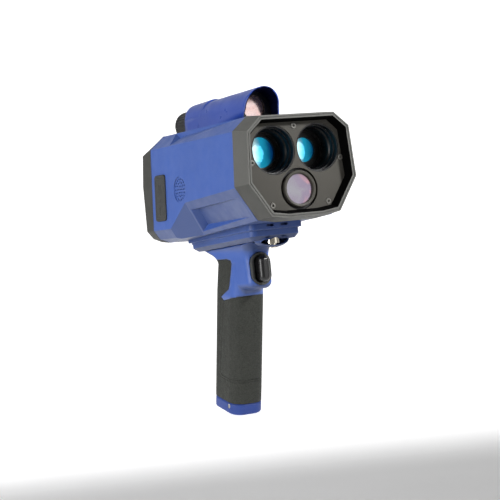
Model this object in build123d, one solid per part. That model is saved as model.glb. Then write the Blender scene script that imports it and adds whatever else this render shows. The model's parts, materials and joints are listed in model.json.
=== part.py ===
from build123d import *
import math
import os

os.makedirs("parts", exist_ok=True)

# ---------------------------------------------------------------------------
# Hand-held laser speed gun with camera window, red-dot sight and pistol grip.
# Millimetres.  The body is laid out with x to the right, y backwards from the
# front rim and z upwards from the lower edge of the front rim; every node is
# then moved so that the origin is the mouth of the tripod bush.
# ---------------------------------------------------------------------------

# ---- driving dimensions ----------------------------------------------------
BUSH_Y = 71.0            # tripod bush axis behind the front rim
BUSH_Z = -28.8           # mouth of the tripod bush

BEZEL_LEN = 22.4         # front bezel, front to back
BODY_END = 201.5         # back of the blue housing
REAR_END = 219.0         # back of the rear bezel
WALL = 2.6               # housing wall
TOP_Z = 94.0
SLOPE = 0.066            # underside falls this much per mm towards the back
RIDGE_Z0 = 30.9          # height of the side ridge at y = 0
BOT_Z0 = -0.9            # height of the underside at y = 0

BORE_X = 23.7            # lens bores, half spacing
BORE_Z = 60.8
BORE_R = 23.0
CAM_Z = 23.6             # camera window centre
CAM_R = 19.5             # hole in the front plate round the camera ring
PLATE_Y = 9.0            # front face of the lens plate
PLATE_T = 3.0

SIGHT_TOP = 125.5
SIGHT_BORE_Z = 106.2     # axis of the bore through the sight
SIGHT_RING_Z = 104.4     # axis of the round eyepiece end of the sight
SIGHT_RING_R = 15.2
SIGHT_RING_END = 226.5   # back of the knurled ring
SIGHT_Y0 = 57.5          # top of the hood's front rim
SIGHT_Y1 = 198.0         # back of the sight housing

RAKE = 13.5              # grip leans back by this angle
GRIP_W = 36.0
GRIP_D = 49.6
GRIP_R = 13.0
GRIP_S0 = 0.0            # grip axis starts here, measured down the axis
CAP_S0 = 155.5           # start of the bottom cap
CAP_S1 = 167.5           # end of the bottom cap
H0 = (0.0, 135.2, -25.0) # a point on the grip axis

TRIG_TRAVEL = 3.0
KEY_TRAVEL = 1.0

CMM = (Align.CENTER, Align.CENTER, Align.MIN)


# ---- helpers ----------------------------------------------------------------
def put(name, shape):
    """Move a body-frame shape so that the tripod bush mouth is the origin."""
    moved = Pos(0, -BUSH_Y, -BUSH_Z) * shape
    export_step(moved, f"parts/{name}.step")
    return moved


def wire_xz(pts, y):
    return Wire.make_polygon([Vector(x, y, z) for x, z in pts], close=True)


def prism(pts, y0, y1):
    return Solid.extrude(Face(wire_xz(pts, y0)), Vector(0, y1 - y0, 0))


def loft2(pa, ya, pb, yb):
    return Solid.make_loft([wire_xz(pa, ya), wire_xz(pb, yb)], True)


def inset(pts, d):
    """Offset a convex polygon inwards by d (outwards when negative)."""
    n = len(pts)
    area = sum(pts[i][0] * pts[(i + 1) % n][1] - pts[(i + 1) % n][0] * pts[i][1] for i in range(n))
    s = 1.0 if area > 0 else -1.0
    lines = []
    for i in range(n):
        x0, y0 = pts[i]
        x1, y1 = pts[(i + 1) % n]
        dx, dy = x1 - x0, y1 - y0
        length = math.hypot(dx, dy)
        nx, ny = -dy / length * s, dx / length * s
        lines.append((x0 + nx * d, y0 + ny * d, dx, dy))
    out = []
    for i in range(n):
        ax, ay, adx, ady = lines[i - 1]
        bx, by, bdx, bdy = lines[i]
        det = adx * bdy - ady * bdx
        t = ((bx - ax) * bdy - (by - ay) * bdx) / det
        out.append((ax + adx * t, ay + ady * t))
    return out


def mirror_pts(right):
    """Close a list of right-hand points (top to bottom) with its mirror."""
    return list(right) + [(-x, z) for x, z in reversed(right)]


def cyl(p, d, r, h):
    return Plane(origin=p, z_dir=d) * Cylinder(r, h, align=CMM)


def cyl_y(x, z, r, y0, y1):
    return cyl((x, y0, z), (0, 1, 0), r, y1 - y0)


def tube_y(x, z, ro, ri, y0, y1):
    return cyl_y(x, z, ro, y0, y1) - cyl_y(x, z, ri, y0 - 1, y1 + 1)


def box(x0, x1, y0, y1, z0, z1):
    return Pos((x0 + x1) / 2, (y0 + y1) / 2, (z0 + z1) / 2) * Box(x1 - x0, y1 - y0, z1 - z0)


def turn_y(x, z, prof):
    """Solid of revolution about a line along y; prof is a list of (r, y)."""
    face = Face(Wire.make_polygon([Vector(r, y, 0) for r, y in prof], close=True))
    return Pos(x, 0, z) * revolve(face, Axis.Y, 360)


def below(solid, p, n):
    """Keep the part of a solid on the side opposite to the normal n."""
    return split(solid, bisect_by=Plane(origin=p, z_dir=n), keep=Keep.BOTTOM)


def plane_of(a, b, c, outward):
    """Point and unit normal of the plane abc, the normal facing 'outward'."""
    va, vb, vc = Vector(*a), Vector(*b), Vector(*c)
    n = (vb - va).cross(vc - va).normalized()
    if n.dot(Vector(*outward)) < 0:
        n = n * -1
    return va, n


def convex(planes, size=400.0, centre=(0, 110, 40)):
    s = Pos(*centre) * Box(size, size, size)
    for p, n in planes:
        s = below(s, p, n)
    return s


def shifted(pn, d):
    p, n = pn
    return p + n * d, n


def mx(v):
    return (-v[0], v[1], v[2])


def both(pn):
    p, n = pn
    return [(p, n), (Vector(-p.X, p.Y, p.Z), Vector(-n.X, n.Y, n.Z))]


def ridge_z(y):
    return RIDGE_Z0 - SLOPE * y


def under_z(y):
    return BOT_Z0 - SLOPE * y


# ---- body shape -------------------------------------------------------------
P_TOP = (Vector(0, 0, TOP_Z), Vector(0, 0, 1))
P_UNDER = (Vector(0, 0, BOT_Z0), Vector(0, -SLOPE, -1).normalized())
P_CHAM = plane_of((41, 0, 94), (57, 0, 81), (41, 100, 94), (1, 0, 1))
SIDE_K = 5.0 / 82.5      # the sides lean out towards the bottom
P_SIDE = plane_of((57, 0, 81), (62.0, 0, -1.5), (57, 100, 81), (1, 0, 0))
P_LOW1 = plane_of((61.95, 0, -0.7), (55.8, 0, -10.0), (61.95, 100, -0.7), (1, 0, -1))
P_LOW2 = plane_of((55.8, 0, -10.0), (46.4, 0, -13.6), (55.8, 100, -10.0), (1, 0, -2))
# the long lower chamfer of the front part, and the triangular facet behind it
P_LONG = plane_of((60.2, 0, ridge_z(0)), (60.2, 100, ridge_z(100)), (40.0, 0, under_z(0)), (1, 0, -1))
P_FACET = plane_of((60.6, 129, 22.2), (61.9, 162, -0.9), (40.4, 135, -9.8), (1, -1, -0.5))


def body_solid(w, y0, y1, facet_extra=0.0):
    planes = [shifted(P_TOP, -w * 1.35), shifted(P_UNDER, -w)]
    for pn in (P_CHAM, P_SIDE, P_LOW1, P_LOW2):
        planes += both(shifted(pn, -w))
    planes += [(Vector(0, y0, 0), Vector(0, -1, 0)), (Vector(0, y1, 0), Vector(0, 1, 0))]
    s = convex(planes)
    for side in (1, -1):
        lp, ln = shifted(P_LONG, -w)
        fp, fn = shifted(P_FACET, -w)
        if side < 0:
            lp, ln = Vector(-lp.X, lp.Y, lp.Z), Vector(-ln.X, ln.Y, ln.Z)
            fp, fn = Vector(-fp.X, fp.Y, fp.Z), Vector(-fn.X, fn.Y, fn.Z)
        cut = below(below(Pos(side * 60, 60, 10) * Box(120, 320, 120), lp, ln * -1), fp, fn * -1)
        s = s - cut
    return s


def scoop(side, w=0.0):
    """Long wedge sunk in the lower chamfer: deep at the back, fading forwards."""
    rim_t0, rim_t1 = (55.9, 125.1, 15.8), (54.8, 40.3, 19.7)
    rim_b0, rim_b1 = (42.0, 130.4, -6.4), (43.2, 30.2, 2.1)
    floor_t, floor_b, front = (47.9, 122.5, 15.5), (38.2, 125.4, 0.2), (49.0, 26.0, 11.4)
    s = Pos(55, 70, 8) * Box(90, 260, 90)
    for pn in (plane_of(floor_t, floor_b, front, (-1, 0, 0.3)), plane_of(rim_t0, rim_t1, floor_t, (0.3, 0, 1)),
               plane_of(rim_b0, rim_b1, floor_b, (-0.3, 0, -1)), plane_of(rim_t0, rim_b0, floor_t, (0, 1, 0))):
        s = below(s, *(shifted(pn, w) if w else pn))
    return s if side > 0 else mirror(s, about=Plane.YZ)


def top_scoop(side, w=0.0):
    """Shallow wedge sunk in the upper chamfer beside the top face."""
    floor = plane_of((41, 36, 93.8), (41, 162, 88.8), (57.0, 162, 80.8), (-0.4, 0, -1))
    wall = (Vector(41.0, 0, 0), Vector(-1, 0, 0))
    ramp = plane_of((41, 171, 94), (57, 157, 81), (41, 163, 88.9), (0, 1, 0.2))
    s = Pos(60, 100, 100) * Box(60, 300, 60)
    for pn in (floor, wall, ramp):
        s = below(s, *(shifted(pn, w) if w else pn))
    return s if side > 0 else mirror(s, about=Plane.YZ)


# front bezel outlines (right-hand points, top to bottom)
F_OUT = mirror_pts([(39.1, 92.3), (54.3, 79.0), (57.5, 31.3), (36.6, 0.0), (19.0, -2.6)])
B_OUT = mirror_pts([(41.2, 94.5), (57.3, 81.2), (60.7, 30.2), (39.8, -1.9), (21.0, -5.0)])
F_IN = mirror_pts([(38.0, 88.7), (51.0, 77.3), (53.7, 32.4), (34.2, 3.6), (18.0, 1.2)])
P_VIS = mirror_pts([(36.0, 86.0), (46.8, 76.0), (50.3, 32.6), (32.6, 6.6), (17.4, 4.6)])

# rear bezel outlines
R_A = mirror_pts([(41.2, 94.3), (57.3, 81.1), (59.5, 45.0), (62.2, -0.8), (56.0, -10.3), (46.6, -14.0), (20.0, -14.6)])
R_B = mirror_pts([(38.2, 91.2), (58.2, 76.6), (61.2, 45.0), (61.5, -0.7), (55.0, -8.8), (46.0, -12.8), (20.0, -14.0)])

# ---- grip frame ---------------------------------------------------------------
ra = math.radians(RAKE)
AX = Vector(0, math.sin(ra), -math.cos(ra))     # down the grip
AP = Vector(0, math.cos(ra), math.sin(ra))      # across the grip, towards the back


def grip_pt(x, yy, s):
    """x sideways, yy towards the back across the grip, s down the grip axis."""
    return Vector(x, H0[1], H0[2]) + AP * yy + AX * s


def grip_prism(w, d, r, s0, s1):
    pl = Plane(origin=grip_pt(0, 0, s0), x_dir=Vector(1, 0, 0), z_dir=AX)
    return extrude(pl * RectangleRounded(w, d, r), amount=s1 - s0)


# ===========================================================================
# 1  main housing
# ===========================================================================
housing = body_solid(0.0, BEZEL_LEN, BODY_END)
for sd in (1, -1):
    housing = housing - scoop(sd) - top_scoop(sd)
cavity = body_solid(WALL, BEZEL_LEN - 1, BODY_END + 1)
for sd in (1, -1):
    cavity = cavity - scoop(sd, 2.2) - top_scoop(sd, 2.2)
# screw bosses inside the back of the housing
REAR_SCREWS = [(54.6, 62.0), (-54.6, 62.0), (57.4, 8.0), (-57.4, 8.0)]
bosses = [cyl_y(x, z, 4.2, 193.5, BODY_END) for x, z in REAR_SCREWS]
for b in bosses:
    cavity = cavity - b
housing = housing - cavity
for x, z in REAR_SCREWS:
    housing = housing - cyl_y(x, z, 1.5, 194.5, BODY_END + 1)

# speaker grille in the left wall: shallow round recess with rings of holes
GR_Y, GR_Z = 138.5, 36.7
gx = -(57.0 + (81.0 - GR_Z) * SIDE_K)
side_n = Vector(-1.0, 0, SIDE_K).normalized()
gpl = Plane(origin=(gx, GR_Y, GR_Z), x_dir=Vector(0, 1, 0), z_dir=side_n)
housing = housing - gpl * Pos(0, 0, -0.9) * Cylinder(12.6, 3, align=CMM)
grille = Pos(0, 0, -8) * Cylinder(1.0, 12, align=CMM)
ring_holes = []
for k, rr in ((6, 3.4), (12, 6.8), (18, 10.2)):
    for i in range(k):
        a = 2 * math.pi * i / k
        ring_holes.append(gpl * Pos(rr * math.cos(a), rr * math.sin(a), -8) * Cylinder(1.0, 12, align=CMM))
ring_holes.append(gpl * grille)
housing = housing - ring_holes

# port window in the left wall, with a shallow seat for the rubber cover
PC_Y0, PC_Y1, PC_Z0, PC_Z1 = 169.5, 193.0, 8.0, 54.0
pcy, pcz = (PC_Y0 + PC_Y1) / 2, (PC_Z0 + PC_Z1) / 2
px = -(57.0 + (81.0 - pcz) * SIDE_K)
ppl = Plane(origin=(px, pcy, pcz), x_dir=Vector(0, 1, 0), z_dir=side_n)
PW, PH = PC_Y1 - PC_Y0, PC_Z1 - PC_Z0
housing = housing - extrude(ppl * Pos(0, 0, -1.0) * RectangleRounded(PW + 0.5, PH + 0.5, 3.7), amount=4)
housing = housing - extrude(ppl * Pos(0, 0, -6.0) * RectangleRounded(PW - 5.0, PH - 5.0, 2.5), amount=8)

# the knurled end ring of the sight sits in a shallow trough in the top
ring_trough = cyl_y(0, SIGHT_RING_Z, SIGHT_RING_R + 0.35, SIGHT_Y1 - 0.4, REAR_END + 2)
housing = housing - ring_trough
# opening in the floor for the wiring of the grip, and base screw holes
housing = housing - box(-9, 9, 112, 146, -16, -4)
BASE_SCREWS = [(19.0, 92.0), (-19.0, 92.0), (19.0, 160.0), (-19.0, 160.0)]
for x, y in BASE_SCREWS:
    housing = housing - cyl((x, y, -30), (0, 0, 1), 1.6, 40)
put("main_housing", housing)

# ===========================================================================
# 2  front bezel, lens plate and optics frame
# ===========================================================================
bezel = loft2(F_OUT, 0.0, B_OUT, BEZEL_LEN)
bezel = bezel - loft2(inset(F_IN, 0.0), -0.001, P_VIS, PLATE_Y)
POCKET = inset(P_VIS, -1.8)
bezel = bezel - prism(POCKET, PLATE_Y, BEZEL_LEN + 1)
bezel = bezel - (prism(inset(F_OUT, 1.5), -1.0, 0.8) - prism(inset(F_OUT, 2.1), -1.1, 0.9))
# locating spigot that enters the housing
def spigot_ring(y0, y1, w0, w1):
    return body_solid(w0, y0, y1) - body_solid(w1, y0 - 1, y1 + 1)
bezel = bezel + spigot_ring(BEZEL_LEN - 0.01, BEZEL_LEN + 3.0, WALL + 0.25, WALL + 2.6)
bezel = bezel - prism(POCKET, PLATE_Y, BEZEL_LEN + 0.2)
PLATE_SCREWS = [(0.0, 82.0), (47.2, 50.2), (-47.2, 50.2), (29.9, 9.9), (-29.9, 9.9)]
for x, z in PLATE_SCREWS:
    bezel = bezel - cyl_y(x, z, 1.4, PLATE_Y - 1, PLATE_Y + 9.5) - cyl_y(x, z, 2.75, PLATE_Y - 0.7, PLATE_Y + 1.7)
put("front_bezel", bezel)

PLATE = inset(P_VIS, -1.6)
plate = prism(PLATE, PLATE_Y, PLATE_Y + PLATE_T)
for sx in (1, -1):
    plate = plate - cyl_y(sx * BORE_X, BORE_Z, BORE_R, PLATE_Y - 1, PLATE_Y + PLATE_T + 1)
plate = plate - cyl_y(0, CAM_Z, CAM_R, PLATE_Y - 1, PLATE_Y + PLATE_T + 1)
for x, z in PLATE_SCREWS:
    plate = plate - cyl_y(x, z, 1.4, PLATE_Y - 1, PLATE_Y + PLATE_T + 1)
    plate = plate - cyl_y(x, z, 2.9, PLATE_Y - 1, PLATE_Y + 1.6)
put("front_plate", plate)

screws = []
for x, z in PLATE_SCREWS:
    head = cyl_y(x, z, 2.6, PLATE_Y - 0.5, PLATE_Y + 1.6) + cyl_y(x, z, 1.25, PLATE_Y + 1.6, PLATE_Y + 9)
    hexa = Plane(origin=(x, PLATE_Y - 0.6, z), z_dir=(0, 1, 0)) * extrude(RegularPolygon(1.35, 6), amount=1.5)
    screws.append(head - hexa)
put("plate_screws", Compound(children=[s.solid() for s in screws]))

FRAME_Y0, FRAME_Y1 = PLATE_Y + PLATE_T, PLATE_Y + PLATE_T + 7.0
frame = prism(PLATE, FRAME_Y0, FRAME_Y1)
for sx in (1, -1):
    frame = frame - cyl_y(sx * BORE_X, BORE_Z, BORE_R, FRAME_Y0 - 1, FRAME_Y1 + 1)
frame = frame - cyl_y(0, CAM_Z, CAM_R, FRAME_Y0 - 1, FRAME_Y1 + 1)
for x, z in PLATE_SCREWS:
    frame = frame - cyl_y(x, z, 1.35, FRAME_Y0 - 1, FRAME_Y1 + 1)
put("optics_frame", frame)

# front seal between bezel and housing spigot: a thin ring of rubber
seal_f = spigot_ring(BEZEL_LEN + 3.1, BEZEL_LEN + 5.0, WALL + 0.25, WALL + 2.2)
put("front_seal", seal_f)

# ===========================================================================
# 3  transmit and receive optics
# ===========================================================================
def barrel(x, lens_y):
    prof = [
        (BORE_R - 1.4, PLATE_Y + 0.5), (BORE_R - 0.1, PLATE_Y + 0.5), (BORE_R - 0.1, 46.0),
        (20.0, 52.0), (13.0, 104.0), (13.0, 116.0), (9.1, 116.0), (9.1, 104.0),
        (15.6, 56.0), (15.6, lens_y + 6.6), (17.3, lens_y + 6.6), (17.3, lens_y - 4.2),
        (19.2, lens_y - 4.2), (19.2, 22.0), (20.6, 20.4), (20.6, 15.5), (BORE_R - 1.4, 15.5),
    ]
    return turn_y(x, BORE_Z, prof)


def lens_profile(r, y, sag_f, sag_b, t):
    pts = []
    n = 8
    for i in range(n + 1):
        rr = r * i / n
        pts.append((rr, y + sag_f * (rr / r) ** 2))
    for i in range(n, -1, -1):
        rr = r * i / n
        pts.append((rr, y + t - sag_b * (rr / r) ** 2))
    return pts


TL_Y, RL_Y = 36.0, 38.0
put("transmit_barrel", barrel(-BORE_X, TL_Y))
put("receive_barrel", barrel(BORE_X, RL_Y))
put("transmit_lens", turn_y(-BORE_X, BORE_Z, lens_profile(17.2, TL_Y - 1.2, 2.2, 1.6, 7.6)))
put("receive_lens", turn_y(BORE_X, BORE_Z, lens_profile(17.2, RL_Y - 1.2, 2.2, 1.6, 7.6)))
put("transmit_retainer", turn_y(-BORE_X, BORE_Z, [(14.4, TL_Y - 3.4), (17.2, TL_Y - 3.4), (17.2, TL_Y + 0.7), (16.0, TL_Y + 0.4), (14.4, TL_Y - 0.3)]))
put("receive_retainer", turn_y(BORE_X, BORE_Z, [(11.6, RL_Y - 3.4), (17.2, RL_Y - 3.4), (17.2, RL_Y + 0.7), (16.0, RL_Y + 0.4), (11.6, RL_Y - 0.7)]))
laser = cyl_y(-BORE_X, BORE_Z, 9.0, 104.5, 122.0) + cyl_y(-BORE_X, BORE_Z, 15.0, 116.1, 119.0) + cyl_y(-BORE_X, BORE_Z, 4.0, 98.0, 104.5)
put("laser_diode_module", laser)
recv = cyl_y(BORE_X, BORE_Z, 9.0, 104.5, 116.5) + box(BORE_X - 17, BORE_X + 17, 116.1, 117.9, BORE_Z - 17, BORE_Z + 17) + box(BORE_X - 9, BORE_X + 9, 117.9, 123.0, BORE_Z - 9, BORE_Z + 9)
put("receiver_module", recv)

# ===========================================================================
# 4  camera
# ===========================================================================
ring = turn_y(0, CAM_Z, [(14.2, 7.6), (16.2, 7.2), (17.1, 8.0), (17.1, 14.0), (13.0, 14.0), (13.0, 12.4), (13.9, 12.4), (13.9, 9.2)])
put("camera_window_ring", ring)
put("camera_window_glass", turn_y(0, CAM_Z, [(0, 9.9), (13.75, 9.9), (13.8, 10.2), (13.8, 12.3), (0, 12.3)]))
cam_tube = turn_y(0, CAM_Z, [(17.2, 12.2), (19.35, 12.2), (19.35, 20.0), (17.0, 20.0), (17.0, 30.0), (11.6, 30.0), (11.6, 27.0), (14.5, 27.0), (14.5, 14.1), (17.2, 14.1)])
put("camera_tube", cam_tube)
cam_lens = turn_y(0, CAM_Z, [(0, 19.5), (6.0, 20.4), (9.0, 20.4), (9.0, 26.5), (11.5, 26.5), (11.5, 44.0), (0, 44.0)])
put("camera_lens", cam_lens)
cam_board = box(-16, 16, 44.1, 45.7, CAM_Z - 15, CAM_Z + 12.5) + box(-7, 7, 45.7, 47.6, CAM_Z - 7, CAM_Z + 7)
put("camera_board", cam_board)

# ===========================================================================
# 5  electronics in the body
# ===========================================================================
BZ = 11.0
board = box(-38, 38, 60, 186, BZ, BZ + 1.6)
board = board - box(-12, 12, 110, 148, BZ - 1, BZ + 3)
board = board + box(-28, -12, 156, 176, BZ + 1.6, BZ + 3.4) + box(14, 26, 156, 168, BZ + 1.6, BZ + 3.0)
board = board + box(-32, -16, 72, 88, BZ + 1.6, BZ + 4.6) + box(18, 30, 72, 92, BZ + 1.6, BZ + 6.6)
for x, y in ((33, 66), (-33, 66), (33, 180), (-33, 180)):
    board = board - cyl((x, y, BZ - 1), (0, 0, 1), 1.6, 4)
put("main_board", board)
stands = []
for x, y in ((33, 66), (-33, 66), (33, 180), (-33, 180)):
    c = cyl((x, y, -20), (0, 0, 1), 3.0, BZ + 20)
    c = below(c, P_UNDER[0] - P_UNDER[1] * (WALL + 0.02), P_UNDER[1])
    stands.append(c.solid())
put("board_standoffs", Compound(children=stands))

spk = gpl * (Pos(0, 0, -8.6) * Cylinder(14.0, 5.4, align=CMM) + Pos(0, 0, -14.6) * Cylinder(8.5, 6.0, align=CMM))
put("speaker", spk)

# ===========================================================================
# 6  port cover and sockets on the left side
# ===========================================================================
tray_o = extrude(ppl * Pos(0, 0, -12.6) * RectangleRounded(PW - 1.0, PH - 1.0, 3.0), amount=9.6)
tray_i = extrude(ppl * Pos(0, 0, -10.6) * RectangleRounded(PW - 5.0, PH - 5.0, 2.5), amount=9.0)
usb_c = extrude(ppl * Pos(0, 10.5, -13) * RectangleRounded(3.4, 9.2, 1.2), amount=4)
jack_c = ppl * Pos(0, -2.5, -13) * Cylinder(4.1, 4, align=CMM)
slot_c = extrude(ppl * Pos(0, -14.0, -13) * Rectangle(2.6, 11.6), amount=4)
tray = tray_o - tray_i - usb_c - jack_c - slot_c
put("port_tray", tray)
usb = extrude(ppl * Pos(0, 10.5, -18) * RectangleRounded(3.3, 9.1, 1.15), amount=7.4) - extrude(ppl * Pos(0, 10.5, -14.5) * RectangleRounded(2.6, 8.4, 0.8), amount=6)
usb = usb + extrude(ppl * Pos(0, 10.5, -15) * Rectangle(0.8, 6.6), amount=4.6)
put("data_socket", usb)
jack = ppl * Pos(0, -2.5, -20) * Cylinder(4.0, 10.0, align=CMM) - ppl * Pos(0, -2.5, -18) * Cylinder(2.75, 10.0, align=CMM)
jack = jack + ppl * Pos(0, -2.5, -18.5) * Cylinder(0.75, 7.5, align=CMM)
put("power_socket", jack)
card = extrude(ppl * Pos(0, -14.0, -24) * Rectangle(2.5, 11.5), amount=13.4) - extrude(ppl * Pos(0, -14.0, -22) * Rectangle(1.3, 10.2), amount=16)
put("card_slot", card)

COVER_T = 1.4
cover = extrude(ppl * Pos(0, 0, -0.85) * RectangleRounded(PW, PH, 3.5), amount=0.85 + COVER_T)
cover = fillet(cover.faces().sort_by(Axis.X)[0].edges(), 0.5)
rib = extrude(ppl * Pos(0, 0, -3.0) * RectangleRounded(PW - 5.8, PH - 5.8, 2.1), amount=2.2)
rib = rib - extrude(ppl * Pos(0, 0, -3.5) * RectangleRounded(PW - 8.6, PH - 8.6, 1.2), amount=2.65)
cover = cover + rib
put("port_cover", cover)

# ===========================================================================
# 7  rear bezel, panel, display and keys
# ===========================================================================
rear = loft2(R_A, BODY_END, R_B, REAR_END)
R_MID = R_B
PANEL_Y0, PANEL_Y1 = 211.0, 214.0
POCK_R = inset(R_B, 5.6)
rear = rear - prism(POCK_R, BODY_END - 1, PANEL_Y1)
rear = rear - loft2(inset(R_B, 8.6), PANEL_Y1 - 0.01, inset(R_B, 6.6), REAR_END + 0.01)
rear = rear - ring_trough
for x, z in REAR_SCREWS:
    rear = rear - cyl_y(x, z, 1.55, BODY_END - 1, REAR_END + 1) - cyl_y(x, z, 2.5, REAR_END - 2.0, REAR_END + 1)
put("rear_bezel", rear)
rs = []
for x, z in REAR_SCREWS:
    s = cyl_y(x, z, 2.35, REAR_END - 1.95, REAR_END - 0.3) + cyl_y(x, z, 1.4, 195.0, REAR_END - 1.9)
    s = s - Plane(origin=(x, REAR_END + 0.2, z), z_dir=(0, -1, 0)) * extrude(RegularPolygon(1.2, 6), amount=1.6)
    rs.append(s.solid())
put("rear_screws", Compound(children=rs))

PANEL = inset(R_B, 5.8)
panel = prism(PANEL, PANEL_Y0, PANEL_Y1)
DX, DZ0, DZ1 = 35.0, 30.0, 76.0
panel = panel - box(-DX + 3, DX - 3, PANEL_Y0 - 1, PANEL_Y1 + 1, DZ0 + 3, DZ1 - 3)
panel = panel - box(-DX - 0.15, DX + 0.15, PANEL_Y0 + 1.2, PANEL_Y1 + 1, DZ0 - 0.15, DZ1 + 0.15)
KEYS = [("key_power", -30.0, 12.0), ("key_menu", -10.0, 12.0), ("key_minus", 10.0, 12.0), ("key_plus", 30.0, 12.0)]
for _, kx, kz in KEYS:
    pl = Plane(origin=(kx, PANEL_Y0 - 1, kz), x_dir=Vector(1, 0, 0), z_dir=Vector(0, 1, 0))
    panel = panel - extrude(pl * RectangleRounded(14.6, 10.6, 2.8), amount=6)
for x, z in REAR_SCREWS:
    panel = panel - cyl_y(x, z, 1.6, PANEL_Y0 - 1, PANEL_Y1 + 1)
put("rear_panel", panel)
put("display_glass", box(-DX, DX, PANEL_Y0 + 1.25, PANEL_Y1 - 0.2, DZ0, DZ1))
put("display_module", box(-DX, DX, PANEL_Y0 - 4.6, PANEL_Y0 - 0.1, DZ0 - 3, DZ1 + 1))
for name, kx, kz in KEYS:
    pl = Plane(origin=(kx, PANEL_Y0 - 1.15, kz), x_dir=Vector(-1, 0, 0), z_dir=Vector(0, 1, 0))
    cap = extrude(pl * RectangleRounded(14.0, 10.0, 2.5), amount=1.15 + PANEL_Y1 - PANEL_Y0 + 1.8)
    cap = fillet(cap.faces().sort_by(Axis.Y)[-1].edges(), 0.8)
    cap = cap + extrude(pl * RectangleRounded(16.4, 12.4, 3.0), amount=1.0)
    cap = cap + cyl_y(kx, kz, 1.8, PANEL_Y0 - 2.1, PANEL_Y0 - 1.1)
    put(name, cap)
kb = box(-40, 40, PANEL_Y0 - 5.2, PANEL_Y0 - 3.6, kz - 7.5, kz + 7.5)
for _, kx, kz in KEYS:
    kb = kb + cyl_y(kx, kz, 2.6, PANEL_Y0 - 3.6, PANEL_Y0 - 3.2)
put("key_board", kb)
seal_r = spigot_ring(BODY_END - 5.0, BODY_END - 3.2, WALL + 0.25, WALL + 2.2)
loops = [cyl_y(x, z, 6.3, BODY_END - 5.0, BODY_END - 3.2) for x, z in REAR_SCREWS]
seal_r = (seal_r + loops) & body_solid(WALL + 0.25, BODY_END - 5.0, BODY_END - 3.2)
for x, z in REAR_SCREWS:
    seal_r = seal_r - cyl_y(x, z, 4.5, 190.0, BODY_END)
put("rear_seal", seal_r)

# ===========================================================================
# 8  red-dot sight
# ===========================================================================
def arch_wire(hw_base, hw_top, z0, zc, y0):
    """Round-topped section with slightly drawn-in sides."""
    ztop = zc + hw_top
    return Wire([
        Edge.make_line(Vector(-hw_base, y0, z0), Vector(hw_base, y0, z0)),
        Edge.make_line(Vector(hw_base, y0, z0), Vector(hw_top, y0, zc)),
        Edge.make_three_point_arc(Vector(hw_top, y0, zc), Vector(0, y0, ztop), Vector(-hw_top, y0, zc)),
        Edge.make_line(Vector(-hw_top, y0, zc), Vector(-hw_base, y0, z0)),
    ])


def arch(hw_base, hw_top, z0, zc, y0, y1):
    return Solid.extrude(Face(arch_wire(hw_base, hw_top, z0, zc, y0)), Vector(0, y1 - y0, 0))


HOOD_T, HOOD_B = 19.4, 21.2          # half widths of the hood, top and base
TAIL_T, TAIL_B = 17.0, 17.6
HZ = SIGHT_TOP - HOOD_T
hood = Solid.make_loft([arch_wire(HOOD_B, HOOD_T, TOP_Z, HZ + 0.2, 40.0), arch_wire(HOOD_B - 1.6, HOOD_T - 1.6, TOP_Z, HZ - 0.1, 164.0)], True)
tail = Solid.make_loft([arch_wire(TAIL_B, TAIL_T, TOP_Z, SIGHT_TOP - 0.1 - TAIL_T, 158.0), arch_wire(TAIL_B, TAIL_T, TOP_Z, SIGHT_TOP - 1.0 - TAIL_T, SIGHT_Y1)], True)
hood = hood + tail
# the rim leans forward at the top
rim_n = Vector(0, -(SIGHT_TOP - TOP_Z), -(70.0 - SIGHT_Y0)).normalized()
hood = below(hood, Vector(0, 70.0, TOP_Z), rim_n)
HOOD_W = 1.9
mouth = arch(HOOD_B - HOOD_W - 0.4, HOOD_T - HOOD_W - 0.4, TOP_Z + 1.6, HZ, 30.0, 86.0)
hood = hood - mouth
hood = hood - cyl_y(0, SIGHT_BORE_Z, 12.0, 80.0, 188.0)
hood = hood - cyl_y(0, SIGHT_RING_Z, 9.6, 180.0, SIGHT_Y1 + 1)
hood = hood + tube_y(0, SIGHT_RING_Z, 11.4, 9.6, SIGHT_Y1 - 0.25, 222.0)
put("sight_housing", hood)

LY = 80.0
SLZ = 107.2
lf = arch(HOOD_B - HOOD_W - 0.5, HOOD_T - HOOD_W - 0.5, TOP_Z + 1.7, HZ, LY, LY + 5.9)
lf = lf - cyl_y(0, SLZ, 11.8, LY - 1, LY + 8)
lf = lf - cyl_y(0, SLZ, 12.7, LY + 1.2, LY + 8)
put("sight_lens_frame", lf)
put("sight_lens", turn_y(0, SLZ, lens_profile(12.6, LY + 1.3, 0.9, -0.9, 2.6)))
emit = box(-3, 3, 150, 158, SIGHT_BORE_Z - 11.4, SIGHT_BORE_Z - 7.0) + cyl((0, 150.2, SIGHT_BORE_Z - 9), (0, -1, 0), 1.2, 2.2)
put("sight_emitter", emit)
put("sight_eyepiece", turn_y(0, SIGHT_RING_Z, lens_profile(9.5, 216.0, 0.5, 0.5, 2.4)))
kn = tube_y(0, SIGHT_RING_Z, SIGHT_RING_R, 11.46, SIGHT_Y1 + 0.3, SIGHT_RING_END)
kn = chamfer(kn.faces().sort_by(Axis.Y)[-1].edges().sort_by(SortBy.RADIUS)[-1], 1.4)
cuts = []
for i in range(30):
    a = 360.0 * i / 30
    cuts.append(Pos(0, 0, SIGHT_RING_Z) * Rot(0, a, 0) * Pos(SIGHT_RING_R, 213.0, 0) * Box(1.2, 19.0, 1.4))
kn = kn - cuts
put("sight_end_ring", kn)

# ===========================================================================
# 9  base: upper flange, lower plate with lip, tripod bush
# ===========================================================================
def tilt_plane(z_at_0, slope):
    return Vector(0, 0, z_at_0), Vector(0, slope, 1).normalized()


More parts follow.
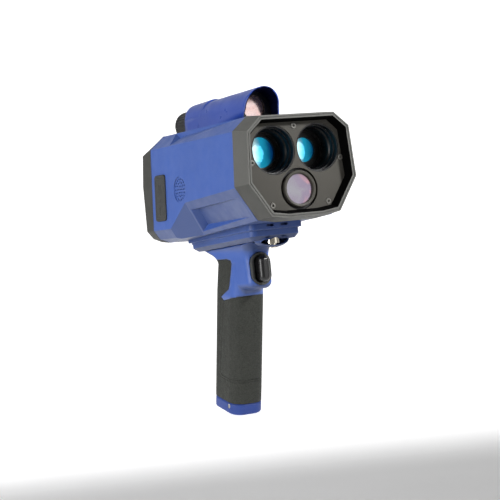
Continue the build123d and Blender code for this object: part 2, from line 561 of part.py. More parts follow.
def slab(hw, y0, y1, r, top, bottom, grow=0.0):
    """Rounded plate between two tilted planes (z at y=0, fall per mm)."""
    f = Pos(0, (y0 + y1) / 2, -60) * RectangleRounded(2 * hw, y1 - y0, r)
    s = extrude(f, amount=80)
    tp, tn = tilt_plane(*top)
    bp_, bn = tilt_plane(*bottom)
    s = below(s, tp, tn)
    s = below(s, bp_, bn * -1)
    return s


flange = slab(29.6, 57.0, 197.5, 8.0, (BOT_Z0 - 0.02, SLOPE), (-7.7, 0.0467))
neckdown = slab(27.4, 59.2, 193.5, 7.0, (-7.6, 0.0467), (-7.7, 0.0577))
flange = flange + neckdown
for sx in (-7.6, 7.6):
    flange = flange - box(sx - 4.0, sx + 4.0, 50, 61.5, -8.0, -5.6)
flange = flange - box(-9, 9, 112, 146, -30, 5)
for x, y in BASE_SCREWS:
    flange = flange - cyl((x, y, -40), (0, 0, 1), 1.6, 50)
BUSH_TOP = -9.5
flange = flange - cyl((0, BUSH_Y, -40), (0, 0, 1), 8.1, 40 + BUSH_TOP + 0.2)
put("base_flange", flange)

# lower plate: sides and ends drawn in towards the bottom
PT, PB = (-7.72, 0.0577), (-17.5, 0.048)
lower = slab(27.2, 60.4, 192.0, 7.0, PT, (PB[0], PB[1]))
low_face = [f for f in lower.faces() if f.normal_at(f.center()).Z < -0.9][0]
lower = chamfer(low_face.edges(), 4.0)
lower = below(lower, Vector(0, 192.0, -19.0), Vector(0, 7.5, -10.5).normalized())
# bowl-shaped lip under the front, with an eye-shaped window at the front
# through which the tripod bush shows
LIP_Z = -21.0
lip_o = Pos(0, BUSH_Y, LIP_Z) * scale(Sphere(1.0), by=(17.8, 12.2, 7.6))
lip_i = Pos(0, BUSH_Y, LIP_Z) * scale(Sphere(1.0), by=(16.0, 10.4, 5.9))
eye_pl = Plane(origin=(0, BUSH_Y, -22.3), x_dir=Vector(1, 0, 0), z_dir=Vector(0, -1, 0))
eye = extrude(eye_pl * Ellipse(15.0, 3.7), amount=40)
lip = lip_o - lip_i - box(-30, 30, 40, 120, -19.0, 10)
lip = lip - cyl((0, BUSH_Y, -60), (0, 0, 1), 5.3, 70)
lower = lower - cyl((0, BUSH_Y, -60), (0, 0, 1), 8.1, 70)
lower = lower - box(-9, 9, 112, 146, -40, 5)
for x, y in BASE_SCREWS:
    lower = lower - cyl((x, y, -40), (0, 0, 1), 1.6, 50)
    lower = lower - cyl((x, y, -40), (0, 0, 1), 3.0, 40 + PB[0] - PB[1] * y + 2.5)
lower = lower - eye
lip = lip - eye
put("base_plate", lower + lip)

bush = cyl((0, BUSH_Y, -24.4), (0, 0, 1), 8.0, BUSH_TOP + 24.4) + cyl((0, BUSH_Y, BUSH_Z), (0, 0, 1), 5.2, 6.0)
bush = chamfer(bush.edges().sort_by(Axis.Z)[0], 0.5)
bush = bush - cyl((0, BUSH_Y, BUSH_Z - 1), (0, 0, 1), 2.55, 13.8)
put("tripod_bush", bush)
bs = []
for x, y in BASE_SCREWS:
    hz = PB[0] - PB[1] * y + 0.3
    s = cyl((x, y, hz), (0, 0, 1), 2.8, 2.1) + cyl((x, y, hz + 2.0), (0, 0, 1), 1.5, 16.0)
    s = s - Plane(origin=(x, y, hz - 0.4), z_dir=(0, 0, 1)) * extrude(RegularPolygon(1.3, 6), amount=1.6)
    bs.append(s.solid())
put("base_screws", Compound(children=bs))

# ===========================================================================
# 10  neck and grip
# ===========================================================================
def neck_face(z, hf, hr, yf, yr, rf, rr):
    """Rounded trapezium: narrow at the front, as wide as the grip behind."""
    w = Wire.make_polygon([Vector(-hf, yf, z), Vector(hf, yf, z), Vector(hr, yr, z), Vector(-hr, yr, z)], close=True)
    f = Face(w)
    vs = f.vertices()
    front = [v for v in vs if v.Y < (yf + yr) / 2]
    back = [v for v in vs if v.Y > (yf + yr) / 2]
    f = f.fillet_2d(rf, front)
    back = [v for v in f.vertices() if v.Y > yr - 0.01 and abs(abs(v.X) - hr) < 0.01]
    f = f.fillet_2d(rr, back)
    return f


def grip_centre_y(z):
    return H0[1] + (H0[2] - z) * math.tan(ra)


MORPH_S = 46.0


def neck_solid(d):
    """Blend from the base plate to the grip; d shrinks it all round."""
    half = GRIP_D / 2 / math.cos(ra)
    secs = []
    for z, hf, hr, yf, yr in (
        (-21.0, 18.4, 21.4, 90.0, 192.5),
        (-25.5, 15.8, 19.4, 94.6, 189.0),
        (-28.8, 14.4, 18.5, 97.2, 182.0),
        (-31.5, 13.8, 18.2, 98.4, 174.4),
        (-35.0, 13.3, 18.0, 99.0, 168.2),
        (-40.0, 13.1, GRIP_W / 2, 99.0, grip_centre_y(-40.0) + half),
    ):
        secs.append(neck_face(z, hf - d, hr - d, yf + d, yr - d, 8.5 - d * 0.5, 13.0 - d * 0.5).outer_wire())
    up = Solid.make_loft(secs, False)
    # straight part behind the trigger
    low = []
    for z, yf in ((-40.0, 99.0), (-67.5, 97.0)):
        low.append(neck_face(z, 13.1 - d, GRIP_W / 2 - d, yf + d, grip_centre_y(z) + half - d, 8.5 - d * 0.5, 13.0 - d * 0.5).outer_wire())
    mid = Solid.make_loft(low, True)
    # the section widens evenly into the grip's own, so no step shows above the sleeve
    front = grip_centre_y(-40.0) - half
    hf = 13.1 + (front - 99.0) / (grip_centre_y(-40.0) + half - 99.0) * (GRIP_W / 2 - 13.1)
    pl = Plane(origin=grip_pt(0, 0, MORPH_S), x_dir=Vector(1, 0, 0), z_dir=AX * -1)
    sec = pl * neck_face(0.0, GRIP_W / 2 - d, GRIP_W / 2 - d, -GRIP_D / 2 + d, GRIP_D / 2 - d, GRIP_R - d, GRIP_R - d)
    top = neck_face(-40.0, hf - d, GRIP_W / 2 - d, front + d, grip_centre_y(-40.0) + half - d, 8.5 - d * 0.5, 13.0 - d * 0.5)
    return up, mid + Solid.make_loft([top.outer_wire(), sec.outer_wire()], True)


up0, mid0 = neck_solid(0.0)
fe = [e for e in mid0.edges() if abs(e.center().Z + 67.5) < 0.2 and e.center().Y < 125]
try:
    mid0 = fillet(ShapeList(fe), 7.0)
except Exception as err:
    print("neck fillet skipped", err)
grip_outer = grip_prism(GRIP_W, GRIP_D, GRIP_R, MORPH_S - 0.01, CAP_S0)
outer = up0 + mid0 + grip_outer
up2, mid2 = neck_solid(2.0)
inner = up2 + mid2 + grip_prism(GRIP_W - 4.0, GRIP_D - 4.0, GRIP_R - 2.0, MORPH_S - 0.01, CAP_S0 + 6.0)

# side-view outline of the rubber: sleeve with a strap up the back
RUB = [(131.0, -37.6), (129.0, -40.5), (134.4, -61.5), (136.4, -65.8), (152.9, -72.9), (147.8, -76.5),
       (135.0, -74.9), (118.0, -73.4), (90.0, -73.0), (90.0, -215.0), (240.0, -215.0), (240.0, -36.0), (160.0, -36.0), (138.0, -36.0)]


def yz_prism(pts, x0, x1):
    f = Face(Wire.make_polygon([Vector(x0, y, z) for y, z in pts], close=True))
    return Solid.extrude(f, Vector(x1 - x0, 0, 0))


rub_region = yz_prism(RUB, -40, 40)
sleeve = (outer & rub_region) - inner
if len(sleeve.solids()) > 1:
    sleeve = sleeve.solids().sort_by(SortBy.VOLUME)[-1]
# two shallow lines: down each side from the notch, then forwards round the grip
def groove_face(pts, w):
    left, right = [], []
    for i, (a, b) in enumerate(pts):
        a0, b0 = pts[max(i - 1, 0)]
        a1, b1 = pts[min(i + 1, len(pts) - 1)]
        length = math.hypot(a1 - a0, b1 - b0)
        nx, ny = -(b1 - b0) / length * w / 2, (a1 - a0) / length * w / 2
        left.append((a + nx, b + ny))
        right.append((a - nx, b - ny))
    return left + right[::-1]


def arc_pts(ca, cb, r, d0, d1, n=6):
    return [(ca + r * math.cos(math.radians(d0 + (d1 - d0) * i / n)), cb + r * math.sin(math.radians(d0 + (d1 - d0) * i / n))) for i in range(n + 1)]


G_OUT = [(6.0, 51.5), (7.6, 75.0), (9.3, 101.0)] + arc_pts(3.6, 125.9, 7.4, 0, 90)
G_IN = [(1.0, 55.0), (2.5, 75.0), (4.0, 101.0)] + arc_pts(0.9, 125.8, 5.0, 0, 90)
for path, s_ring in ((G_OUT, 133.3), (G_IN, 130.8)):
    poly = groove_face(path + [(path[-1][0] - 0.3, path[-1][1])], 0.65)
    for sx in (1, -1):
        pl = Plane(origin=grip_pt(sx * (GRIP_W / 2 + 1.0), 0, 0), x_dir=AP, z_dir=Vector(-1, 0, 0))
        f = Face(Wire.make_polygon([pl.from_local_coords((a, b, 0)) for a, b in poly], close=True))
        sleeve = sleeve - Solid.extrude(f, Vector(-sx * 1.5, 0, 0))
    band = grip_prism(GRIP_W + 2, GRIP_D + 2, GRIP_R + 1, s_ring - 0.32, s_ring + 0.32) - grip_prism(GRIP_W - 1.0, GRIP_D - 1.0, GRIP_R - 0.5, s_ring - 1, s_ring + 1)
    band = below(band, grip_pt(0, path[-1][0] - 0.1, s_ring), AP)
    sleeve = sleeve - band
put("grip_sleeve", sleeve)

shell = (outer - rub_region) + (inner & (outer + grip_prism(GRIP_W - 4.0, GRIP_D - 4.0, GRIP_R - 2.0, MORPH_S, CAP_S0 + 6.0)))
# hollow: battery chamber down the grip, trigger chamber and cable way up to the body
hollow = grip_prism(GRIP_W - 8.4, GRIP_D - 8.4, 9.0, 40.0, CAP_S0 + 8.0)
hollow = hollow + box(-9.0, 9.0, 100.0, 150.0, -62.0, -33.0)
hollow = hollow + box(-8.5, 8.5, 112.5, 145.5, -40.0, -10.0)
shell = shell - hollow
# oval window for the trigger bezel
TC_Z, TW, TH = -48.0, 21.0, 32.0
tpl = Plane(origin=(0, 90, TC_Z), x_dir=Vector(1, 0, 0), z_dir=Vector(0, 1, 0))
shell = shell - extrude(tpl * RectangleRounded(TW, TH, 10.2), amount=12)
# room for the lip and the bush in front of the neck
shell = shell - (Pos(0, BUSH_Y, LIP_Z) * scale(Sphere(1.0), by=(17.9, 12.3, 7.7)))
# clear of the sloping underside of the plate
shell = below(shell, *tilt_plane(PB[0] - 0.02, PB[1]))
if len(shell.solids()) > 1:
    print("handle shell solids", [round(s.volume, 1) for s in shell.solids()])
    shell = shell.solids().sort_by(SortBy.VOLUME)[-1]
put("handle_shell", shell)

# trigger bezel: oval rubber surround, dished, with a slot for the trigger
tb = extrude(Plane(origin=(0, 96.4, TC_Z), x_dir=Vector(1, 0, 0), z_dir=Vector(0, 1, 0)) * RectangleRounded(TW - 0.1, TH - 0.1, 10.15), amount=5.4)
tb = tb - extrude(Plane(origin=(0, 96.0, TC_Z), x_dir=Vector(1, 0, 0), z_dir=Vector(0, 1, 0)) * RectangleRounded(TW - 3.6, TH - 3.6, 8.4), amount=3.4)
tb = tb - extrude(Plane(origin=(0, 90.0, TC_Z), x_dir=Vector(1, 0, 0), z_dir=Vector(0, 1, 0)) * RectangleRounded(11.8, 25.8, 5.4), amount=20)
put("trigger_bezel", tb)

# trigger: rounded bar that slides straight back
tg = extrude(Plane(origin=(0, 87.6, TC_Z), x_dir=Vector(1, 0, 0), z_dir=Vector(0, 1, 0)) * RectangleRounded(11.2, 25.2, 5.1), amount=14.8)
tg = fillet(tg.faces().sort_by(Axis.Y)[0].edges(), 4.4)
tg = tg + extrude(Plane(origin=(0, 102.0, TC_Z), x_dir=Vector(1, 0, 0), z_dir=Vector(0, 1, 0)) * RectangleRounded(15.4, 27.4, 5.0), amount=2.0)
tg = tg + cyl_y(0, TC_Z + 6, 1.6, 104.0, 107.0)
put("trigger", tg)
# return spring behind the trigger, over the peg, and the switch below it
sp = tube_y(0, TC_Z + 6, 3.0, 2.1, 104.1, 116.0)
put("trigger_spring", sp)
sw = box(-3.0, 3.0, 109.0, 121.0, TC_Z - 13, TC_Z + 1.5) + cyl_y(0, TC_Z - 6, 1.2, 107.4, 109.0)
sw = sw + box(-6.0, 6.0, 116.1, 118.5, TC_Z + 1.5, TC_Z + 12.0)
put("trigger_switch", sw)

# ===========================================================================
# 11  batteries and bottom cap
# ===========================================================================
cells = []
for yy in (-9.45, 9.45):
    c = Plane(origin=grip_pt(0, yy, 86.0), x_dir=Vector(1, 0, 0), z_dir=AX) * (Cylinder(9.2, 65.0, align=CMM))
    c = c + Plane(origin=grip_pt(0, yy, 85.0), x_dir=Vector(1, 0, 0), z_dir=AX) * Cylinder(3.0, 1.0, align=CMM)
    cells.append(c.solid())
put("battery_cells", Compound(children=cells))
ct = Plane(origin=grip_pt(0, 0, 81.4), x_dir=Vector(1, 0, 0), z_dir=AX) * extrude(RectangleRounded(25.0, 37.4, 8.4), amount=1.6)
ct = ct + [Plane(origin=grip_pt(0, yy, 83.0), x_dir=Vector(1, 0, 0), z_dir=AX) * Cylinder(4.0, 1.9, align=CMM) for yy in (-9.45, 9.45)]
put("battery_contact_plate", ct)

cap = grip_prism(GRIP_W - 0.2, GRIP_D - 0.2, GRIP_R - 0.1, CAP_S0 + 0.15, CAP_S1)
cap = fillet(cap.faces().sort_by(Axis.Z)[0].edges(), 2.4)
cap = cap - grip_prism(GRIP_W - 3.8, GRIP_D - 3.8, GRIP_R - 1.9, CAP_S0 - 1.0, CAP_S0 + 6.2)
cap = cap - grip_prism(GRIP_W - 9.0, GRIP_D - 9.0, 9.0, CAP_S0 - 1.0, CAP_S1 - 2.6)
# contact springs' shoe inside the cap
CS = [((-GRIP_W / 2, -12.5), (1, 0)), ((GRIP_W / 2, -12.5), (-1, 0)), ((0, GRIP_D / 2), (0, -1))]
scr = []
S_SCR = CAP_S0 + 4.0
cut_shell = []
for (gx_, gy_), (dx_, dy_) in CS:
    o = grip_pt(gx_, gy_, S_SCR)
    dvec = Vector(dx_, 0, 0) + AP * dy_
    cap = cap - Plane(origin=o - dvec * 1.0, z_dir=dvec) * Cylinder(2.4, 2.4, align=CMM)
    cap = cap - Plane(origin=o - dvec * 1.0, z_dir=dvec) * Cylinder(1.25, 8.0, align=CMM)
    s = Plane(origin=o + dvec * 0.4, z_dir=dvec) * Cylinder(2.2, 0.95, align=CMM) + Plane(origin=o + dvec * 1.3, z_dir=dvec) * Cylinder(1.1, 3.4, align=CMM)
    s = s - Plane(origin=o - dvec * 0.6, z_dir=dvec) * extrude(RegularPolygon(1.1, 6), amount=1.7)
    scr.append(s.solid())
    cut_shell.append(Plane(origin=o - dvec * 1.0, z_dir=dvec) * Cylinder(1.25, 8.0, align=CMM))
put("bottom_cap", cap)
put("cap_screws", Compound(children=scr))
shell = shell - cut_shell
put("handle_shell", shell)
bat_spring = []
for yy in (-9.45, 9.45):
    bat_spring.append((Plane(origin=grip_pt(0, yy, 151.15), x_dir=Vector(1, 0, 0), z_dir=AX) * (Cylinder(4.5, CAP_S1 - 2.7 - 151.2, align=CMM) - Cylinder(3.7, 40, align=CMM))).solid())
put("battery_springs", Compound(children=bat_spring))
print("done")
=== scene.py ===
import json
import math

import bmesh
import bpy
from mathutils import Matrix, Vector


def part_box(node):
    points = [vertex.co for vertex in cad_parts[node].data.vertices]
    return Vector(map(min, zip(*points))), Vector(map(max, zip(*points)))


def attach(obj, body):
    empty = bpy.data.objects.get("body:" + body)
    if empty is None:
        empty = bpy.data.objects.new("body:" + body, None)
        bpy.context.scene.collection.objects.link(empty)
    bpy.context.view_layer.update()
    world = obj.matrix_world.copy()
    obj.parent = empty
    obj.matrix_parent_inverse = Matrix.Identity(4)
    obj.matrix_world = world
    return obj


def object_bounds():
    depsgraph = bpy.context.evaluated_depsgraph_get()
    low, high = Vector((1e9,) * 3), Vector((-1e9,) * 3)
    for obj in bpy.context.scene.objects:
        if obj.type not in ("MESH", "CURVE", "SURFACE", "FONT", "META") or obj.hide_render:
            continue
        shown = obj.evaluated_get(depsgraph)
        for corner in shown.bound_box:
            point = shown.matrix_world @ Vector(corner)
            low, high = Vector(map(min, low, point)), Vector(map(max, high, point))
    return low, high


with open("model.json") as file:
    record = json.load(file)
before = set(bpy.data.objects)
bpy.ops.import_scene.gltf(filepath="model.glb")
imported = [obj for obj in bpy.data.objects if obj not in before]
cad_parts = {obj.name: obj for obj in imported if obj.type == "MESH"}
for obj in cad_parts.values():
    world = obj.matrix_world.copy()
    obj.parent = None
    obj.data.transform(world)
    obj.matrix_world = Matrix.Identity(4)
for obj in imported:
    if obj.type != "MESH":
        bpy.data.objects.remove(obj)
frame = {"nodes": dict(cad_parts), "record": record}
cad_lo, cad_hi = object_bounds()
NODES = frame["nodes"]


# ---------------------------------------------------------------------------
# small helpers
# ---------------------------------------------------------------------------
def lin(r, g, b):
    """sRGB 0-255 to linear."""
    def f(c):
        c = c / 255.0
        return c / 12.92 if c <= 0.04045 else ((c + 0.055) / 1.055) ** 2.4
    return (f(r), f(g), f(b), 1.0)


def scaled(c, k):
    return (min(c[0] * k, 1.0), min(c[1] * k, 1.0), min(c[2] * k, 1.0), 1.0)


class Graph:
    def __init__(self, name):
        self.mat = bpy.data.materials.new(name)
        self.mat.use_nodes = True
        self.nt = self.mat.node_tree
        self.nt.nodes.clear()
        self.out = self.nt.nodes.new("ShaderNodeOutputMaterial")
        self.bsdf = self.nt.nodes.new("ShaderNodeBsdfPrincipled")
        self.nt.links.new(self.bsdf.outputs["BSDF"], self.out.inputs["Surface"])
        self.tex = self.nt.nodes.new("ShaderNodeTexCoord")
        self.coord = self.tex.outputs["Object"]

    def node(self, kind, **props):
        n = self.nt.nodes.new(kind)
        for k, v in props.items():
            setattr(n, k, v)
        return n

    def link(self, a, b):
        self.nt.links.new(a, b)

    def noise(self, scale, detail=2.0, rough=0.5, distortion=0.0, vec=None):
        n = self.node("ShaderNodeTexNoise")
        n.inputs["Scale"].default_value = scale
        n.inputs["Detail"].default_value = detail
        n.inputs["Roughness"].default_value = rough
        n.inputs["Distortion"].default_value = distortion
        self.link(vec or self.coord, n.inputs["Vector"])
        return n.outputs["Fac"]

    def voronoi(self, scale, feature="F1", vec=None):
        n = self.node("ShaderNodeTexVoronoi", feature=feature)
        n.inputs["Scale"].default_value = scale
        self.link(vec or self.coord, n.inputs["Vector"])
        return n.outputs["Distance"]

    def rng(self, fac, a, b, c, d, smooth=False):
        n = self.node("ShaderNodeMapRange", clamp=True)
        if smooth:
            n.interpolation_type = "SMOOTHSTEP"
        n.inputs["From Min"].default_value = a
        n.inputs["From Max"].default_value = b
        n.inputs["To Min"].default_value = c
        n.inputs["To Max"].default_value = d
        self.link(fac, n.inputs["Value"])
        return n.outputs["Result"]

    def mix(self, fac, a, b, blend="MIX"):
        n = self.node("ShaderNodeMix", data_type="RGBA", blend_type=blend)
        if isinstance(fac, float):
            n.inputs["Factor"].default_value = fac
        else:
            self.link(fac, n.inputs["Factor"])
        for sock, v in (("A", a), ("B", b)):
            s = [i for i in n.inputs if i.name == sock and i.type == "RGBA"][0]
            if isinstance(v, tuple):
                s.default_value = v
            else:
                self.link(v, s)
        return [o for o in n.outputs if o.type == "RGBA"][0]

    def math(self, op, a, b=None):
        n = self.node("ShaderNodeMath", operation=op)
        for i, v in enumerate((a, b)):
            if v is None:
                continue
            if isinstance(v, (int, float)):
                n.inputs[i].default_value = v
            else:
                self.link(v, n.inputs[i])
        return n.outputs[0]

    def bump(self, height, dist, strength=1.0, normal=None):
        n = self.node("ShaderNodeBump")
        n.inputs["Distance"].default_value = dist
        n.inputs["Strength"].default_value = strength
        self.link(height, n.inputs["Height"])
        if normal is not None:
            self.link(normal, n.inputs["Normal"])
        return n.outputs["Normal"]

    def rounded(self, radius):
        bv = self.node("ShaderNodeBevel", samples=6)
        bv.inputs["Radius"].default_value = radius
        return bv.outputs["Normal"]

    def inward(self, cx, cz):
        """1 on walls that face the axis through (cx, cz) along y."""
        geo = self.node("ShaderNodeNewGeometry")
        sub = self.node("ShaderNodeVectorMath", operation="SUBTRACT")
        sub.inputs[1].default_value = (cx, 0.0, cz)
        self.link(self.coord, sub.inputs[0])
        mul = self.node("ShaderNodeVectorMath", operation="MULTIPLY")
        mul.inputs[1].default_value = (1.0, 0.0, 1.0)
        self.link(sub.outputs["Vector"], mul.inputs[0])
        nrm = self.node("ShaderNodeVectorMath", operation="NORMALIZE")
        self.link(mul.outputs["Vector"], nrm.inputs[0])
        dot = self.node("ShaderNodeVectorMath", operation="DOT_PRODUCT")
        self.link(nrm.outputs["Vector"], dot.inputs[0])
        self.link(self.tex.outputs["Normal"], dot.inputs[1])
        return self.rng(dot.outputs["Value"], -0.25, -0.6, 0.0, 1.0)

    def edge(self, radius, lo, hi):
        """1 where the surface turns sharply, 0 on flats."""
        bv = self.node("ShaderNodeBevel", samples=4)
        bv.inputs["Radius"].default_value = radius
        geo = self.node("ShaderNodeNewGeometry")
        dot = self.node("ShaderNodeVectorMath", operation="DOT_PRODUCT")
        self.link(bv.outputs["Normal"], dot.inputs[0])
        self.link(geo.outputs["Normal"], dot.inputs[1])
        return self.rng(dot.outputs["Value"], hi, lo, 1.0, 0.0)


def moulded(name, base, rough=0.5, metallic=0.0, var=0.06, patch=30.0, grain=1800.0, depth=0.00006,
            second=None, spec=0.5, coat=0.0, coat_rough=0.2, wear=None, wear_amt=0.35, speck=0.0, rough_var=0.08,
            dust=None, sheen=0.0, soft=0.0006, inner=None, under_shade=None):
    """Painted, moulded or plated surface with patchy tone, fine grain and lighter rubbed edges, with optional painted
    shade on downward faces and on recess walls.
    """
    g = Graph(name)
    tone = g.noise(patch, 3.0, 0.55)
    col = g.mix(g.rng(tone, 0.3, 0.7, 0.0, 1.0), scaled(base, 1 - var), scaled(base, 1 + var))
    if speck:
        sp = g.rng(g.noise(grain * 1.6, 1.0), 0.58, 0.72, 0.0, speck)
        col = g.mix(sp, col, scaled(base, 1.9))
        sp2 = g.rng(g.noise(grain * 0.9, 1.0), 0.30, 0.42, speck, 0.0)
        col = g.mix(sp2, col, scaled(base, 0.55))
    if dust is not None:
        col = g.mix(g.rng(g.noise(9.0, 4.0, 0.6), 0.45, 0.75, 0.0, 0.10), col, dust)
    if wear is not None:
        e = g.math("MULTIPLY", g.edge(0.0007, 0.995, 0.86), g.rng(g.noise(220.0, 3.0), 0.35, 0.6, 0.35, 1.0))
        col = g.mix(g.math("MULTIPLY", e, wear_amt), col, wear)
    # painted shade: faces that point downward blend toward a darker colour
    if under_shade is not None:
        nz = g.node("ShaderNodeSeparateXYZ")
        g.link(g.tex.outputs["Normal"], nz.inputs["Vector"])
        col = g.mix(g.rng(nz.outputs["Z"], under_shade[0], under_shade[1], 0.0, under_shade[2]), col, under_shade[3])
    rv = g.rng(g.noise(70.0, 3.0, 0.6), 0.3, 0.7, max(rough - rough_var, 0.02), min(rough + rough_var, 1.0))
    # painted shade: walls facing the recess axis blend to a dark colour and turn rough and metallic
    if inner is not None:
        recess_shade_mask = g.inward(inner[0], inner[1])
        col = g.mix(recess_shade_mask, col, inner[2])
        rv = g.math("MAXIMUM", rv, g.math("MULTIPLY", recess_shade_mask, 0.8))
    g.link(col, g.bsdf.inputs["Base Color"])
    g.link(rv, g.bsdf.inputs["Roughness"])
    if inner is not None:
        g.link(recess_shade_mask, g.bsdf.inputs["Metallic"])
    else:
        g.bsdf.inputs["Metallic"].default_value = metallic
    g.bsdf.inputs["Specular IOR Level"].default_value = spec
    g.bsdf.inputs["Coat Weight"].default_value = coat
    g.bsdf.inputs["Coat Roughness"].default_value = coat_rough
    if sheen:
        g.bsdf.inputs["Sheen Weight"].default_value = sheen
    nrm = g.bump(g.noise(grain, 2.0, 0.6), depth, 1.0, g.rounded(soft) if soft else None)
    if second:
        nrm = g.bump(g.voronoi(second[0], "F1"), second[1], 1.0, nrm)
    g.link(nrm, g.bsdf.inputs["Normal"])
    return g.mat


# ---------------------------------------------------------------------------
# materials
# ---------------------------------------------------------------------------
BLUE = lin(56, 85, 154)
MAT = {}
# painted shade: downward faces of the blue paint blend toward a greyer dark blue
MAT["blue_shell"] = moulded("blue_satin_paint", BLUE, rough=0.42, var=0.035, patch=24.0, grain=2300.0, depth=0.00002,
                            spec=0.34, wear=lin(112, 134, 198), wear_amt=0.5, speck=0.05, under_shade=(-0.10, -0.60, 0.85, lin(52, 64, 98)))
# painted shade: the bottom cap uses a darker copy of the blue paint
MAT["cap_blue_shaded"] = moulded("blue_paint_cap_shaded", lin(40, 60, 122), rough=0.42, var=0.035, patch=24.0, grain=2300.0, depth=0.00002,
                          spec=0.2, wear=lin(104, 124, 188), wear_amt=0.5, speck=0.05)
# painted shade: base flange and plate use a darker, greyer copy of the blue paint, and their downward faces darken
# further
MAT["base_blue_shaded"] = moulded("blue_paint_base_shaded", lin(54, 76, 130), rough=0.42, var=0.035, patch=24.0, grain=2300.0, depth=0.00002,
                           spec=0.28, wear=lin(112, 130, 186), wear_amt=0.5, speck=0.05, under_shade=(-0.10, -0.60, 0.85, lin(46, 56, 86)))
# painted shade: the sight uses a darker copy of the blue paint, and its inner hood walls are painted dark navy
MAT["sight_blue_shaded"] = moulded("blue_paint_sight_shaded", lin(40, 68, 150), rough=0.34, var=0.035, patch=30.0, grain=2300.0, depth=0.000015,
                            spec=0.42, wear=lin(100, 122, 190), wear_amt=0.5, speck=0.04, soft=0.0, inner=(0.0, 0.135, lin(18, 22, 52)))
# painted shade: the bezel's recess walls are painted near-black and its downward faces darker grey
MAT["bezel_rubber"] = moulded("bezel_textured_grey", lin(86, 86, 83), rough=0.56, inner=(0.0, 0.074, lin(10, 10, 10)), var=0.05, patch=40.0, grain=1500.0, depth=0.00007,
                              spec=0.22, wear=lin(128, 128, 124), wear_amt=0.55, speck=0.10,
                              under_shade=(-0.10, -0.60, 0.75, lin(50, 50, 47)))
MAT["plate_grey"] = moulded("lens_plate_grey", lin(60, 58, 53), rough=0.56, var=0.05, patch=35.0, grain=1700.0, depth=0.00006,
                            spec=0.18, wear=lin(110, 108, 102), wear_amt=0.3, speck=0.10)
# painted shade: the rear bezel uses a darker copy of the bezel grey
MAT["rear_rubber_shaded"] = moulded("textured_grey_rear_shaded", lin(60, 60, 57), rough=0.55, var=0.05, patch=40.0, grain=1500.0, depth=0.00007,
                             spec=0.22, wear=lin(118, 118, 114), wear_amt=0.5, speck=0.10)
MAT["black_plastic"] = moulded("black_satin_plastic", lin(24, 24, 25), rough=0.42, spec=0.3, var=0.08, patch=60.0, grain=1900.0, depth=0.00003,
                               wear=lin(80, 80, 82), wear_amt=0.35, speck=0.05)
MAT["cover_rubber"] = moulded("cover_rubber", lin(56, 57, 56), rough=0.60, spec=0.25, var=0.07, patch=60.0, grain=1600.0, depth=0.00006,
                              wear=lin(90, 90, 88), wear_amt=0.3, speck=0.08)
MAT["black_anodised"] = moulded("black_anodised", lin(9, 9, 10), rough=0.34, metallic=0.0, spec=0.3, var=0.10, patch=80.0, grain=2600.0,
                                depth=0.00001, wear=lin(70, 70, 74), wear_amt=0.5)
MAT["trigger_gloss"] = moulded("trigger_gloss_black", lin(13, 13, 14), rough=0.30, var=0.10, patch=90.0, grain=700.0, depth=0.000006,
                               spec=0.45, coat=0.12, coat_rough=0.14, wear=lin(60, 60, 60), wear_amt=0.25, rough_var=0.04)
MAT["screw_black"] = moulded("screw_black_oxide", lin(104, 102, 97), rough=0.36, metallic=0.5, var=0.15, patch=400.0, grain=2400.0,
                             depth=0.00002, wear=lin(120, 120, 118), wear_amt=0.5)
MAT["seal_rubber"] = moulded("seal_rubber", lin(26, 26, 26), rough=0.7, grain=1500.0, depth=0.00003)
MAT["circuit_board"] = moulded("solder_mask_green", lin(20, 90, 48), rough=0.35, var=0.2, patch=300.0, grain=900.0, depth=0.00002, coat=0.3)
MAT["component_black"] = moulded("component_black", lin(32, 32, 34), rough=0.5, var=0.12, patch=200.0, grain=1800.0, depth=0.00003)
MAT["standoff_brass"] = moulded("turned_brass", lin(196, 160, 88), rough=0.3, metallic=1.0, var=0.1, patch=200.0, grain=2600.0, depth=0.00001)
MAT["battery_wrap"] = moulded("battery_sleeve", lin(50, 120, 78), rough=0.25, var=0.08, patch=80.0, grain=500.0, depth=0.00003, coat=0.3)
MAT["key_rubber"] = moulded("key_rubber", lin(60, 63, 68), rough=0.55, var=0.06, patch=120.0, grain=1700.0, depth=0.00004,
                            wear=lin(110, 112, 116), wear_amt=0.4, speck=0.05)


def brushed(name, base, rough, axis_scale, depth=0.00001, var=0.12):
    """Metal with fine lines: the noise is stretched along one axis."""
    g = Graph(name)
    mp = g.node("ShaderNodeMapping")
    mp.inputs["Scale"].default_value = axis_scale
    g.link(g.coord, mp.inputs["Vector"])
    lines = g.noise(1.0, 3.0, 0.6, vec=mp.outputs["Vector"])
    g.link(g.mix(g.rng(lines, 0.3, 0.7, 0.0, 1.0), scaled(base, 1 - var), scaled(base, 1 + var)), g.bsdf.inputs["Base Color"])
    g.link(g.rng(lines, 0.3, 0.7, max(rough - 0.06, 0.02), rough + 0.08), g.bsdf.inputs["Roughness"])
    g.bsdf.inputs["Metallic"].default_value = 1.0
    g.link(g.bump(lines, depth), g.bsdf.inputs["Normal"])
    return g.mat


MAT["chrome"] = brushed("plated_bush", lin(214, 206, 190), 0.12, (900.0, 900.0, 5200.0), 0.000012)
MAT["steel"] = brushed("bright_steel", lin(186, 184, 178), 0.24, (1800.0, 1800.0, 300.0), 0.000008)


